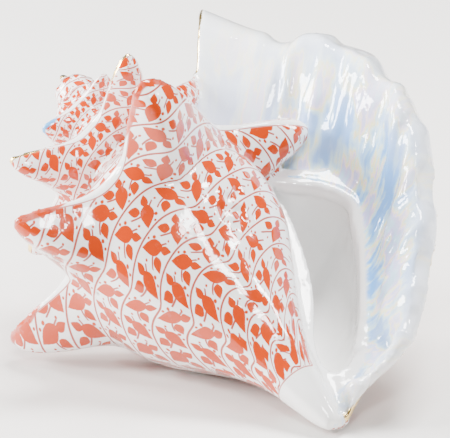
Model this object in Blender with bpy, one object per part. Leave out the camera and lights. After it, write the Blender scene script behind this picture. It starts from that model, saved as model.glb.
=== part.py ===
"""Conch shell of glazed porcelain: one cast piece that lies on its side, its mouth to the front.

The form is worked out in the shell's own frame, in millimetres: r is the distance from the coiling
axis, z runs along the axis, 0 at the apex and negative towards the siphonal canal, and the growth
angle is 0 at the front and rises to the left, 360 degrees for each whorl. The last step turns it to
the pose in which it rests and writes metres, +Z up, with the origin under the middle of the piece.
"""

import math

import bmesh
import bpy
import numpy as np

# Coil: sizes at growth angle 0 of the body whorl, and how they grow with each turn
TIP_RADIUS = 56.0
KEEL_RADIUS = 30.0
KEEL_DROP = 58.0
RADIUS_GROWTH = 0.42
DROP_GROWTH = 0.58
LENGTH = 148.5
WHORLS_ABOVE = 2.9
MOUTH_ANGLE = 246.0
CORE_RADIUS = 0.6

# Suture and keel: where a whorl leaves the one above, how its shoulder curves in, and how thick
# the keel's flange is
SUTURE_RADIUS_SHARE = 0.40
SUTURE_DROP_SHARE = 0.58
SHOULDER_CURVE = 0.65
FLANGE_TOP = 4.8
FLANGE_BOTTOM = 9.5
FLANGE_EDGE = 1.6

# Spines: growth angle, reach as a share of the tip radius, lift of the tip (mm), half width before
# and after the tip, and how much deeper than the keel the spine's root goes (mm)
SPINES = (
    (-106.0, 1.02, -7.5, 40.0, 36.0, 7.5),
    (-20.0, 0.86, 7.0, 50.0, 27.0, 5.0),
    (44.0, 0.66, 8.5, 29.0, 29.0, 3.5),
    (95.0, 0.82, 9.0, 31.0, 29.0, 1.5),
    (168.0, 0.38, 5.0, 28.0, 28.0, 0.0),
    (-199.0, 0.97, 6.0, 34.0, 34.0, 0.0),
    (-265.0, 0.85, -1.0, 30.0, 30.0, 3.0),
    (-316.0, 0.92, 8.0, 29.0, 29.0, 1.5),
    (-391.0, 1.08, 6.0, 32.0, 32.0, 3.0),
    (-472.0, 1.04, 19.0, 46.0, 40.0, 3.0),
    (-559.0, 0.75, 6.0, 34.0, 34.0, 0.0),
    (-625.0, 0.62, 2.0, 32.0, 32.0, 2.0),
    (-678.0, 0.56, 1.5, 32.0, 32.0, 2.0),
    (-751.0, 0.66, -1.5, 34.0, 34.0, 2.0),
    (-832.0, 0.70, 6.0, 34.0, 34.0, 0.0),
)
SPINE_SHARPNESS = 2.4
SPINE_TIP = 0.16

# How full the flange is towards its edge: a power, lower and so rounder where a spine stands out
EDGE_POWER = 1.2
EDGE_POWER_LOST = 0.85
LEAST_EDGE_POWER = 0.42

# Crown: the rounded top of the spire as (r, z), with a spiral row of knobs round it
CROWN = (
    (0.2, 3.0), (1.1, 2.6), (1.5, 1.4), (1.7, 0.2), (2.7, -0.8), (4.6, -1.9), (6.1, -3.8),
    (6.8, -6.5), (7.0, -10), (6.7, -13), (6.0, -17),
)
CROWN_PITCH = 4.4
CROWN_RIDGE = 0.7
KNOBS = 9
KNOB_SHARE = 0.4
KNOBS_FROM_RADIUS = 1.8
KNOBS_GROW_OVER = 2.0

# Base of the whorl: share of the way down to the canal's tip, and share of the keel's radius
BASE_OUTLINE = (
    (0.0, 1.0), (0.1, 0.92), (0.2, 0.81), (0.31, 0.68), (0.42, 0.55), (0.53, 0.42),
    (0.66, 0.29), (0.8, 0.21), (0.92, 0.14), (1.0, 0.07),
)
SPIRE_BASE_SHARE = 1.6
CANAL_GROWS_FROM = -330.0
CANAL_GROWS_OVER = 120.0
CANAL_SHIFT = 3.5
CANAL_SHIFT_FROM = 88.0
CANAL_SHIFT_OVER = 26.0
CANAL_TIP = (4.0, -108.0, -146.0)
CANAL_TIP_RADIUS = 2.7
INNER_LIP_SWELL = 7.0
INNER_LIP_ANGLE = -95.0
INNER_LIP_SPREAD = 34.0
INNER_LIP_DOWN = 0.25

# Mouth: how the last part of the body whorl swells to carry the lip
MOUTH_SWELL = 17.0
MOUTH_SWELL_FROM = 140.0
MOUTH_KEEL_SWELL = 13.0
MOUTH_KEEL_RISE = 12.0
MOUTH_SWELL_OUTLINE = ((0.0, 0.0), (0.25, 0.25), (0.52, 0.65), (0.7, 0.85), (0.83, 0.5), (1.0, 0.0))

# Lip: its outer edge and its inner border as (r, z), from the corner beside the spire to the canal
LIP_EDGE = (
    (51.5, 8.5), (60.5, -7), (64.5, -18), (71, -23), (78.5, -36), (80, -59), (78.5, -70), (76, -84),
    (67, -101), (58, -115), (48.5, -126), (38, -136), (28.5, -140.5), (18, -142.5), (8.5, -148),
)
LIP_INNER = (
    (12, -58), (19, -60), (27, -62), (36, -65), (46, -73), (50.5, -82), (47.5, -91), (43, -99),
    (38.5, -107), (33, -116), (28, -124), (23, -132), (16, -137), (9, -139), (3, -147),
)
LIP_CORNER_BULGE = 3.0
LIP_CORNER_UNTIL = 0.12
LIP_THICKNESS = 3.4
LIP_THROAT_ANGLE = -112.0
LIP_CREST_ANGLE = -94.0
LIP_LEAN = 14.0
LIP_LEAN_UNTIL = 0.48
LIP_CREST_AT = 0.78
LIP_ROLL = 9.0

# Flutes of the lip: share of the way along its edge, and depth (mm)
FLUTES = (
    (0.10, 0.9), (0.245, 2.2), (0.315, 2.2), (0.37, 2.0), (0.425, 1.7), (0.48, 1.4), (0.54, 1.1),
    (0.60, 1.1), (0.66, 1.2), (0.715, 1.2), (0.765, 1.2), (0.815, 1.1), (0.86, 0.9), (0.90, 0.6),
)
FLUTE_WIDTH = 0.019
FLUTE_FADE_POWER = 1.2
SCALLOP = 0.7
SCALLOP_FADE_POWER = 4
LEAST_FLUTED_RADIUS = 12.0

# Throat: its outline as (r, z), how far round it runs into the shell, and how it narrows
THROAT = (
    (33, -64), (38, -67.5), (44, -72), (49, -80), (46, -88), (42, -97), (36, -108), (29, -119),
    (23.5, -126), (20.5, -130), (17, -132), (12.5, -131.5), (12, -126), (15, -118), (21, -108),
    (26, -97), (29.5, -86), (32, -75),
)
THROAT_CENTRE = (31.0, -98.0)
THROAT_FRONT_ANGLE = -90.0
THROAT_TURN = 48.0
THROAT_NARROWS_TO = 0.42
THROAT_ROUNDING = 2.2

# Pose: the coil's axis leans left and its apex points away from the front
AXIS_ROLL = 36.7
AXIS_TILT = -32.4
BODY_PITCH = 20.0
APEX_HEIGHT = 68.5
ORIGIN_ACROSS = 46.3
ORIGIN_AWAY = -39.7

# Block that is taken away below the ground, in metres
GROUND_BLOCK_WIDTH = 0.4
GROUND_BLOCK_DEPTH = 0.05

# Fineness of the mesh
STEPS_PER_TURN = 72
SHOULDER_POINTS = 9
FLANGE_POINTS = 7
BASE_POINTS = 25
AXIS_POINTS = 6
CURVE_POINTS = 60
CROWN_SIDES = 48
TIP_SIDES = 18
TIP_RINGS = 9
TIP_LAST_RING = 80.0
THROAT_RINGS = 10
LIP_ROWS = 121
LIP_COLUMNS = 21
VOXEL = 1.3
SHARE_OF_FACES_KEPT = 0.134


def smooth_step(t):
    t = np.clip(t, 0.0, 1.0)
    return t * t * (3.0 - 2.0 * t)


def smooth_curve(points, count, closed=False):
    """Points of a Catmull-Rom curve through the given ones."""
    points = np.asarray(points, float)
    if closed:
        knots = np.vstack([points[-1:], points, points[:2]])
    else:
        knots = np.vstack([2 * points[0] - points[1], points, 2 * points[-1] - points[-2]])
    spans = len(knots) - 3
    at = np.linspace(0.0, spans, count, endpoint=not closed)
    index = np.minimum(at.astype(int), spans - 1)
    t = (at - index)[:, None]
    p0, p1, p2, p3 = (knots[index + step] for step in range(4))
    linear = (p2 - p0) * t
    square = (2 * p0 - 5 * p1 + 4 * p2 - p3) * t**2
    cube = (3 * p1 - p0 - 3 * p2 + p3) * t**3
    return 0.5 * (2 * p1 + linear + square + cube)


def spines(angle):
    """How far the keel stands out at each growth angle, how far its edge lifts and its root drops."""
    reach = np.zeros_like(angle)
    lift = np.zeros_like(angle)
    drop = np.zeros_like(angle)
    for centre, share, tip_lift, before, after, root in SPINES:
        away = np.abs(angle - centre) / np.where(angle < centre, before, after)
        away = np.hypot(away, SPINE_TIP) - SPINE_TIP
        near = np.clip(1.0 - away, 0.0, 1.0) ** SPINE_SHARPNESS
        lift = np.where(share * near > reach, tip_lift * near, lift)
        drop = np.maximum(drop, root * near)
        reach = np.maximum(reach, share * near)
    return reach, lift, drop


def whorl_section(angle):
    """The coil's outer curve at each growth angle, from the suture to the canal: r and z grids."""
    angle = angle[:, None]
    turn = angle / 360.0
    size = np.exp(RADIUS_GROWTH * turn)
    reach, lift, drop = spines(angle)
    mouth = smooth_step((angle - MOUTH_SWELL_FROM) / (MOUTH_ANGLE - MOUTH_SWELL_FROM))
    keel_r = KEEL_RADIUS * size + MOUTH_KEEL_SWELL * mouth
    keel_z = -KEEL_DROP * np.exp(DROP_GROWTH * turn) + MOUTH_KEEL_RISE * mouth
    tip_r = keel_r + (TIP_RADIUS * size - keel_r).clip(0.0) * reach + FLANGE_EDGE * size
    tip_z = keel_z + lift * size

    shoulder = np.linspace(0.0, 1.0, SHOULDER_POINTS)
    suture_r = SUTURE_RADIUS_SHARE * keel_r
    suture_z = SUTURE_DROP_SHARE * keel_z
    root_z = keel_z + FLANGE_TOP * size
    shoulder_r = suture_r + (keel_r - suture_r) * shoulder
    shoulder_z = suture_z + (root_z - suture_z) * shoulder**SHOULDER_CURVE

    out = np.linspace(0.0, 1.0, FLANGE_POINTS + 1)[1:]
    top_r = keel_r + (tip_r - keel_r) * out
    fullness = np.clip(EDGE_POWER - EDGE_POWER_LOST * reach, LEAST_EDGE_POWER, EDGE_POWER)
    top_z = tip_z + (root_z - tip_z) * (1.0 - out) ** fullness
    base_top = keel_z - (FLANGE_BOTTOM + drop) * size
    under_r = keel_r + (tip_r - keel_r) * (1.0 - out)
    under_z = tip_z + (base_top - tip_z) * out**fullness

    outline = smooth_curve(BASE_OUTLINE, BASE_POINTS + 1)[1:]
    down = outline[:, 0]
    floor = -LENGTH * smooth_step((angle - CANAL_GROWS_FROM) / CANAL_GROWS_OVER)
    floor = np.minimum(floor, SPIRE_BASE_SHARE * keel_z)
    base_z = base_top + (floor - base_top) * down
    base_r = keel_r * outline[:, 1]
    swell = smooth_curve(MOUTH_SWELL_OUTLINE, CURVE_POINTS)
    base_r = base_r + MOUTH_SWELL * mouth * np.interp(down, swell[:, 0], swell[:, 1])
    inner_lip = np.exp(-(((angle - INNER_LIP_ANGLE) / INNER_LIP_SPREAD) ** 2))
    inner_lip = inner_lip * np.exp(-(((down - INNER_LIP_DOWN) / INNER_LIP_DOWN) ** 2))
    base_r = base_r + INNER_LIP_SWELL * inner_lip

    r = np.hstack([shoulder_r, top_r, under_r, base_r])
    z = np.hstack([shoulder_z, top_z, under_z, base_z])
    return r, z


def place(r, angle, z, shift=0.0):
    """Shell frame (mm, degrees) to the resting pose (m)."""
    a = np.radians(angle)
    tilt, roll, pitch = (math.radians(v) for v in (AXIS_TILT, AXIS_ROLL, BODY_PITCH))
    side = -r * np.sin(a) + shift
    front = r * np.cos(a)
    up = z * math.cos(tilt) - front * math.sin(tilt)
    near = z * math.sin(tilt) + front * math.cos(tilt)
    across = side * math.cos(roll) - up * math.sin(roll)
    high = side * math.sin(roll) + up * math.cos(roll)
    x = across - ORIGIN_ACROSS
    y = high * math.sin(pitch) - near * math.cos(pitch) - ORIGIN_AWAY
    height = high * math.cos(pitch) + near * math.sin(pitch) + APEX_HEIGHT
    return np.stack([x, y, height], axis=-1) * 0.001


def grid_faces(rows, columns, wrap=False):
    faces = []
    for i in range(rows - 1):
        for j in range(columns if wrap else columns - 1):
            k = (j + 1) % columns
            a = i * columns
            b = a + columns
            faces.append((a + j, a + k, b + k, b + j))
    return faces


def tube(rings):
    """A closed tube through rings of points, with a flat cap on each end."""
    rows, columns = rings.shape[:2]
    faces = grid_faces(rows, columns, wrap=True)
    faces.append(tuple(range(columns)))
    faces.append(tuple(range((rows - 1) * columns, rows * columns))[::-1])
    return rings.reshape(-1, 3), faces


def coil():
    """The whorls as one tube: each section runs down its outer curve and back along the axis."""
    first = -360.0 * WHORLS_ABOVE
    count = int((MOUTH_ANGLE - first) / 360.0 * STEPS_PER_TURN)
    angle = np.linspace(first, MOUTH_ANGLE, count)
    r, z = whorl_section(angle)
    back = np.linspace(0.0, 1.0, AXIS_POINTS + 2)[1:-1]
    axis_z = z[:, -1:] + (z[:, :1] - z[:, -1:]) * back
    axis_r = np.full_like(axis_z, CORE_RADIUS)
    r = np.hstack([r, axis_r])
    z = np.hstack([z, axis_z])
    shift = CANAL_SHIFT * smooth_step((-z - CANAL_SHIFT_FROM) / CANAL_SHIFT_OVER)
    return tube(place(r, angle[:, None], z, shift))


def crown():
    """The rounded top of the spire, with a spiral row of knobs."""
    outline = smooth_curve(CROWN, CURVE_POINTS)
    angle = np.linspace(0.0, 360.0, CROWN_SIDES, endpoint=False)
    r, z = outline[:, :1], outline[:, 1:] + 0.0 * angle
    ridge = (1.0 + np.cos(2.0 * np.pi * (z / CROWN_PITCH - angle / 360.0))) / 2.0
    knobs = 1.0 - KNOB_SHARE + KNOB_SHARE * np.cos(np.radians(angle) * KNOBS)
    grown = smooth_step((r - KNOBS_FROM_RADIUS) / KNOBS_GROW_OVER)
    return tube(place(r + CROWN_RIDGE * (ridge * knobs - 0.5) * grown, angle, z))


def canal_tip():
    """A ball that rounds off the tip of the canal, where the lip runs into it."""
    centre = place(*(np.float64(value) for value in CANAL_TIP))
    turn = np.linspace(0.0, 2.0 * np.pi, TIP_SIDES, endpoint=False)
    rings = []
    for rise in np.radians(np.linspace(-TIP_LAST_RING, TIP_LAST_RING, TIP_RINGS)):
        across = np.cos(turn) * math.cos(rise)
        away = np.sin(turn) * math.cos(rise)
        up = np.full(len(turn), math.sin(rise))
        rings.append(centre + np.column_stack([across, away, up]) * CANAL_TIP_RADIUS * 0.001)
    return tube(np.array(rings))


def lip_face():
    """The face of the flared lip: rows from the spire to the canal, columns from throat to edge."""
    edge = smooth_curve(LIP_EDGE, LIP_ROWS)
    inner = smooth_curve(LIP_INNER, LIP_ROWS)
    t = np.linspace(0.0, 1.0, LIP_COLUMNS)
    s = np.linspace(0.0, 1.0, LIP_ROWS)[:, None]
    folds = sum(depth * np.exp(-(((s - at) / FLUTE_WIDTH) ** 2)) for at, depth in FLUTES)
    r = inner[:, :1] + (edge[:, :1] - inner[:, :1]) * t + SCALLOP * folds * t**SCALLOP_FADE_POWER
    z = inner[:, 1:] + (edge[:, 1:] - inner[:, 1:]) * t
    z = z + LIP_CORNER_BULGE * np.sin(np.pi * t) * np.clip(1.0 - s / LIP_CORNER_UNTIL, 0.0, 1.0)
    rise = (LIP_CREST_ANGLE - LIP_THROAT_ANGLE) * smooth_step(t / LIP_CREST_AT)
    roll = LIP_ROLL * np.clip((t - LIP_CREST_AT) / (1.0 - LIP_CREST_AT), 0.0, 1.0) ** 2
    lean = LIP_LEAN * (1.0 - smooth_step(s / LIP_LEAN_UNTIL))
    flute = np.degrees(folds * t**FLUTE_FADE_POWER / np.maximum(r, LEAST_FLUTED_RADIUS))
    return place(r, LIP_THROAT_ANGLE + rise - roll - lean + flute, z)


def lip():
    """The lip's face made into a sheet of even thickness that reaches back into the body."""
    face = lip_face()
    normal = np.cross(np.gradient(face, axis=0), np.gradient(face, axis=1))
    normal /= np.linalg.norm(normal, axis=2, keepdims=True)
    away = np.sign(normal[..., 1:2].mean())
    back = face + normal * away * LIP_THICKNESS * 0.001
    return tube(np.concatenate([face, back[:, ::-1]], axis=1))


def throat():
    """A tube that follows the coil into the shell from the mouth and narrows to its end."""
    outline = smooth_curve(THROAT, CURVE_POINTS, closed=True)
    centre = np.array(THROAT_CENTRE)
    stations = [(THROAT_FRONT_ANGLE, 1.0), (LIP_THROAT_ANGLE, 1.0)]
    for t in np.linspace(0.0, 1.0, THROAT_RINGS + 1)[1:]:
        size = THROAT_NARROWS_TO + (1.0 - THROAT_NARROWS_TO) * math.sqrt(1.0 - t**THROAT_ROUNDING)
        stations.append((LIP_THROAT_ANGLE - THROAT_TURN * t, size))
    rings = []
    for angle, size in stations:
        ring = centre + (outline - centre) * size
        rings.append(place(ring[:, 0], np.full(len(ring), angle), ring[:, 1]))
    return tube(np.array(rings))


def block_below():
    """A block under the ground plane, which leaves a small flat at each place that rests on it."""
    half = GROUND_BLOCK_WIDTH / 2.0
    ring = np.array([(-half, -half), (half, -half), (half, half), (-half, half)])
    low = np.column_stack([ring, np.full(4, -GROUND_BLOCK_DEPTH)])
    high = np.column_stack([ring, np.zeros(4)])
    return tube(np.array([low, high]))


def mesh_object(name, *shapes):
    """One object of the given closed shapes, each with its faces pointing out."""
    mesh = bpy.data.meshes.new(name)
    bm = bmesh.new()
    for points, faces in shapes:
        verts = [bm.verts.new(point) for point in points]
        for face in faces:
            bm.faces.new([verts[i] for i in face])
    bmesh.ops.recalc_face_normals(bm, faces=bm.faces)
    bm.to_mesh(mesh)
    bm.free()
    obj = bpy.data.objects.new(name, mesh)
    bpy.context.scene.collection.objects.link(obj)
    return obj


def keep_largest_piece(mesh):
    """Drop the stray slivers that thinning out the facets can leave beside the body."""
    bm = bmesh.new()
    bm.from_mesh(mesh)
    left = set(bm.faces)
    pieces = []
    while left:
        reached = {left.pop()}
        edge_of_piece = list(reached)
        while edge_of_piece:
            face = edge_of_piece.pop()
            beside = {other for edge in face.edges for other in edge.link_faces if other in left}
            left -= beside
            reached |= beside
            edge_of_piece.extend(beside)
        pieces.append(reached)
    largest = max(pieces, key=len)
    stray = [face for face in bm.faces if face not in largest]
    bmesh.ops.delete(bm, geom=stray, context="FACES")
    bm.to_mesh(mesh)
    bm.free()


def cut(target, name, shape):
    """Take a closed shape away from the target."""
    cutter = mesh_object(name, shape)
    cutter.hide_render = True
    cutter.display_type = "WIRE"
    modifier = target.modifiers.new(name, "BOOLEAN")
    modifier.operation = "DIFFERENCE"
    modifier.object = cutter


def glazed_porcelain():
    material = bpy.data.materials.new("glazed_porcelain")
    material.use_nodes = True
    shader = material.node_tree.nodes["Principled BSDF"]
    shader.inputs["Base Color"].default_value = (0.86, 0.33, 0.17, 1.0)
    shader.inputs["Roughness"].default_value = 0.12
    return material


def main():
    for old in list(bpy.data.objects):
        bpy.data.objects.remove(old)
    shell = mesh_object("conch_shell", coil(), crown(), canal_tip(), lip())
    skin = shell.modifiers.new("skin", "REMESH")
    skin.mode = "VOXEL"
    skin.voxel_size = VOXEL * 0.001
    cut(shell, "throat", throat())
    facets = shell.modifiers.new("facets", "DECIMATE")
    facets.ratio = SHARE_OF_FACES_KEPT
    graph = bpy.context.evaluated_depsgraph_get()
    body = bpy.data.meshes.new_from_object(shell.evaluated_get(graph), depsgraph=graph)
    keep_largest_piece(body)
    shell.modifiers.clear()
    shell.data = body
    cut(shell, "ground", block_below())
    shell.data.materials.append(glazed_porcelain())


main()
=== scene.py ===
"""Looks of the conch shell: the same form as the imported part, in fine detail, glazed and painted.

The form is worked out in the shell's own frame, in millimetres: r is the distance from the coiling
axis, z runs along the axis, 0 at the apex and negative towards the siphonal canal, and the growth
angle is 0 at the front and rises to the left, 360 degrees for each whorl.
"""

import math

import bmesh
import bpy
import numpy as np
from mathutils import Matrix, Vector
from mathutils.bvhtree import BVHTree
from mathutils.noise import noise as noise_at


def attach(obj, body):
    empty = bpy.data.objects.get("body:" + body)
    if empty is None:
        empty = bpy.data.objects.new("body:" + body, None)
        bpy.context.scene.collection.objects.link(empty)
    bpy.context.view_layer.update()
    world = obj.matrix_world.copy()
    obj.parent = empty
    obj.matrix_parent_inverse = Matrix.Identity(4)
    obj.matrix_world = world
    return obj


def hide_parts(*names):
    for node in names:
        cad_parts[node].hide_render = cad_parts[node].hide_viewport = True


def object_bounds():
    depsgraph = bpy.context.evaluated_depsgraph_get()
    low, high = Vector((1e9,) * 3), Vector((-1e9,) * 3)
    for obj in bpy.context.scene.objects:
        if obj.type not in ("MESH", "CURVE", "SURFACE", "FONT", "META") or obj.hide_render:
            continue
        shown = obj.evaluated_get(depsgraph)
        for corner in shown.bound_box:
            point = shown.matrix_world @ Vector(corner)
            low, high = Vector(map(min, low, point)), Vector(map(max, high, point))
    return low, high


# Coil: sizes at growth angle 0 of the body whorl, and how they grow with each turn
TIP_RADIUS = 56.0
KEEL_RADIUS = 30.0
KEEL_DROP = 58.0
RADIUS_GROWTH = 0.42
DROP_GROWTH = 0.58
LENGTH = 148.5
WHORLS_ABOVE = 2.9
MOUTH_ANGLE = 246.0
CORE_RADIUS = 0.6

# Suture and keel: where a whorl leaves the one above, how its shoulder curves in, and how thick
# the keel's flange is
SUTURE_RADIUS_SHARE = 0.40
SUTURE_DROP_SHARE = 0.58
SHOULDER_CURVE = 0.65
FLANGE_TOP = 4.8
FLANGE_BOTTOM = 9.5
FLANGE_EDGE = 1.6

# Spines: growth angle, reach as a share of the tip radius, lift of the tip (mm), half width before
# and after the tip, and how much deeper than the keel the spine's root goes (mm)
SPINES = (
    (-106.0, 1.02, -7.5, 40.0, 36.0, 7.5),
    (-20.0, 0.86, 7.0, 50.0, 27.0, 5.0),
    (44.0, 0.66, 8.5, 29.0, 29.0, 3.5),
    (95.0, 0.82, 9.0, 31.0, 29.0, 1.5),
    (168.0, 0.38, 5.0, 28.0, 28.0, 0.0),
    (-199.0, 0.97, 6.0, 34.0, 34.0, 0.0),
    (-265.0, 0.85, -1.0, 30.0, 30.0, 3.0),
    (-316.0, 0.92, 8.0, 29.0, 29.0, 1.5),
    (-391.0, 1.08, 6.0, 32.0, 32.0, 3.0),
    (-472.0, 1.04, 19.0, 46.0, 40.0, 3.0),
    (-559.0, 0.75, 6.0, 34.0, 34.0, 0.0),
    (-625.0, 0.62, 2.0, 32.0, 32.0, 2.0),
    (-678.0, 0.56, 1.5, 32.0, 32.0, 2.0),
    (-751.0, 0.66, -1.5, 34.0, 34.0, 2.0),
    (-832.0, 0.70, 6.0, 34.0, 34.0, 0.0),
)
SPINE_SHARPNESS = 2.4
SPINE_TIP = 0.16

# How full the flange is towards its edge: a power, lower and so rounder where a spine stands out
EDGE_POWER = 1.2
EDGE_POWER_LOST = 0.85
LEAST_EDGE_POWER = 0.42

# Crown: the rounded top of the spire as (r, z), with a spiral row of knobs round it
CROWN = (
    (0.2, 3.0), (1.1, 2.6), (1.5, 1.4), (1.7, 0.2), (2.7, -0.8), (4.6, -1.9), (6.1, -3.8),
    (6.8, -6.5), (7.0, -10), (6.7, -13), (6.0, -17),
)
CROWN_PITCH = 4.4
CROWN_RIDGE = 0.7
KNOBS = 9
KNOB_SHARE = 0.4
KNOBS_FROM_RADIUS = 1.8
KNOBS_GROW_OVER = 2.0

# Base of the whorl: share of the way down to the canal's tip, and share of the keel's radius
BASE_OUTLINE = (
    (0.0, 1.0), (0.1, 0.92), (0.2, 0.81), (0.31, 0.68), (0.42, 0.55), (0.53, 0.42),
    (0.66, 0.29), (0.8, 0.21), (0.92, 0.14), (1.0, 0.07),
)
SPIRE_BASE_SHARE = 1.6
CANAL_GROWS_FROM = -330.0
CANAL_GROWS_OVER = 120.0
CANAL_SHIFT = 3.5
CANAL_SHIFT_FROM = 88.0
CANAL_SHIFT_OVER = 26.0
CANAL_TIP = (4.0, -108.0, -146.0)
CANAL_TIP_RADIUS = 2.7
INNER_LIP_SWELL = 7.0
INNER_LIP_ANGLE = -95.0
INNER_LIP_SPREAD = 34.0
INNER_LIP_DOWN = 0.25

# Mouth: how the last part of the body whorl swells to carry the lip
MOUTH_SWELL = 17.0
MOUTH_SWELL_FROM = 140.0
MOUTH_KEEL_SWELL = 13.0
MOUTH_KEEL_RISE = 12.0
MOUTH_SWELL_OUTLINE = ((0.0, 0.0), (0.25, 0.25), (0.52, 0.65), (0.7, 0.85), (0.83, 0.5), (1.0, 0.0))

# Lip: its outer edge and its inner border as (r, z), from the corner beside the spire to the canal
LIP_EDGE = (
    (51.5, 8.5), (60.5, -7), (64.5, -18), (71, -23), (78.5, -36), (80, -59), (78.5, -70), (76, -84),
    (67, -101), (58, -115), (48.5, -126), (38, -136), (28.5, -140.5), (18, -142.5), (8.5, -148),
)
LIP_INNER = (
    (12, -58), (19, -60), (27, -62), (36, -65), (46, -73), (50.5, -82), (47.5, -91), (43, -99),
    (38.5, -107), (33, -116), (28, -124), (23, -132), (16, -137), (9, -139), (3, -147),
)
LIP_CORNER_BULGE = 3.0
LIP_CORNER_UNTIL = 0.12
LIP_THICKNESS = 3.4
LIP_THROAT_ANGLE = -112.0
LIP_CREST_ANGLE = -94.0
LIP_LEAN = 14.0
LIP_LEAN_UNTIL = 0.48
LIP_CREST_AT = 0.78
LIP_ROLL = 9.0

# Flutes of the lip: share of the way along its edge, and depth (mm)
FLUTES = (
    (0.10, 0.9), (0.245, 2.2), (0.315, 2.2), (0.37, 2.0), (0.425, 1.7), (0.48, 1.4), (0.54, 1.1),
    (0.60, 1.1), (0.66, 1.2), (0.715, 1.2), (0.765, 1.2), (0.815, 1.1), (0.86, 0.9), (0.90, 0.6),
)
FLUTE_WIDTH = 0.019
FLUTE_FADE_POWER = 1.2
SCALLOP = 0.7
SCALLOP_FADE_POWER = 4
LEAST_FLUTED_RADIUS = 12.0

# Throat: its outline as (r, z), how far round it runs into the shell, and how it narrows
THROAT = (
    (33, -64), (38, -67.5), (44, -72), (49, -80), (46, -88), (42, -97), (36, -108), (29, -119),
    (23.5, -126), (20.5, -130), (17, -132), (12.5, -131.5), (12, -126), (15, -118), (21, -108),
    (26, -97), (29.5, -86), (32, -75),
)
THROAT_CENTRE = (31.0, -98.0)
THROAT_FRONT_ANGLE = -90.0
THROAT_TURN = 48.0
THROAT_NARROWS_TO = 0.42
THROAT_ROUNDING = 2.2

# Pose: the coil's axis leans left and its apex points away from the front
AXIS_ROLL = 36.7
AXIS_TILT = -32.4
BODY_PITCH = 20.0
APEX_HEIGHT = 68.5
ORIGIN_ACROSS = 46.3
ORIGIN_AWAY = -39.7

# Fineness of the mesh
STEPS_PER_TURN = 144
SHOULDER_POINTS = 15
FLANGE_POINTS = 12
BASE_POINTS = 42
AXIS_POINTS = 6
CURVE_POINTS = 120
CROWN_SIDES = 72
TIP_SIDES = 24
TIP_RINGS = 13
TIP_LAST_RING = 85.0
THROAT_RINGS = 20
LIP_ROWS = 240
LIP_COLUMNS = 44
VOXEL = 0.86
SMOOTHING_STEPS = 4

# Nearest place on the coil: degrees between the sections looked at, whorls tried, degrees allowed
# past the coil's ends, and points handled at once
TABLE_STEP = 0.5
WHORLS_TRIED = range(-3, 2)
END_SLACK = 3.0
CHUNK = 20000

# Where coil and lip meet: how much nearer (mm) the lip counts than it is, and the growth angle from
# which the coil is painted only behind the lip
LIP_FIRST = 0.5
BEHIND_LIP_FROM = 200.0

# Painted bands: their height and the width of one sprig (mm on the body whorl), and the least share
# of that width
BAND = 9.4
SPRIG = 7.8
LEAST_SPRIG = 0.8

# Band numbers: they rise from 0 down the base, and fall from 0 on the keel's flange and from these
# on the shoulder, the crown and the lip's back; LAST is the lowest that a place may have
LAST_KEEL_ROW = -8.0
SHOULDER_ROWS = -20.0
LAST_SHOULDER_ROW = -38.0
CROWN_ROWS = -40.0
LAST_CROWN_ROW = -48.0
BACK_ROWS = -60.0

# Radius (mm on the body whorl) that sets how many sprigs go round each band
BASE_TAPER = 0.094
BASE_TAPER_POWER = 1.2
LEAST_BASE = 0.02
FLANGE_SLOPE = 0.8
SHOULDER_SLOPE = 0.72
CROWN_AROUND = 10.0
BACK_AROUND = 40.0

# Crown: its scale, and where it ends as z and r; back of the lip: bands across it, turns along it,
# and where its painting ends, as a share along and across with the length (mm) of the lip that way
CROWN_SCALE = 0.62
CROWN_ABOVE = -9.0
CROWN_WITHIN = 8.2
BACK_BANDS = 8.0
BACK_TURNS = 0.62
BACK_ENDS = ((0.85, 100.0), (0.93, 45.0))

# Distances (mm) that stand for well inside the painting, for no keel and for no tip nearby
WELL_INSIDE = 30.0
NO_KEEL = 20.0
NO_TIP = -9.0

# One sprig (mm): leaves as start, end and half width, berries as place and radius, and the stem
LEAVES = (
    ((-2.3, -1.2), (1.7, 4.1), 2.1),
    ((0.7, -0.8), (3.3, -3.8), 1.35),
    ((-1.4, -1.0), (-3.1, -4.0), 1.15),
)
LEAF_POWER = 0.75
BERRIES = ((-2.7, 2.6, 0.5), (-1.4, 3.8, 0.38), (3.2, 1.4, 0.38))
STEM_BEND = 1.7
STEM_LOW = 1.4
LINE = 0.3

# Brushwork: how the hand shakes (noise scale and mm) and its share in lines and tips, and how
# unevenly colour is laid on
HAND_SCALE = 900.0
HAND_SHAKE = 0.35
LINE_SHAKE = 0.25
TIP_SHAKE = 1.5
BRUSH_SCALE = 420.0
BRUSH_SHARE = 0.3
THIN_CORAL = 0.88

# How strongly each kind of brushwork is laid on
FILL_LAID = 0.88
TIP_LAID = 0.8
LINE_LAID = 0.95
KEEL_LINE_LAID = 0.9
BORDER_LAID = 0.85

# Width of the soft edge (mm) of each kind of brushwork, of the painted sky reflection and of the
# painted shade in the vent hole
FILL_EDGE = 0.14
LINE_EDGE = 0.12
GROUND_EDGE = 0.1
TIP_EDGE = 0.5
SKY_REFLECTION_EDGE = 0.4
GILT_EDGE = 0.3
VENT_SHADE_EDGE = 0.5

# Lines beside the keel and round the painting: half width, distance from the keel's edge and from
# the painting's end, and where the sprigs begin (mm)
BORDER_WIDTH = 0.2
KEEL_LINE = 1.7
KEEL_BARE = 1.9
BORDER_IN = 0.2
KEEL_LINE_FROM = 0.3
SPRIGS_FROM = 0.5

# Where the painted area ends at the mouth, as growth angle against z, and the bare plate
PAINT_ENDS = (
    (-44, -130), (-50, -124), (-62, -119), (-84, -112), (-98, -106), (-110, -100), (-120, -90),
    (-128, -60),
)
PLATE_BELOW = -131.0
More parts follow.
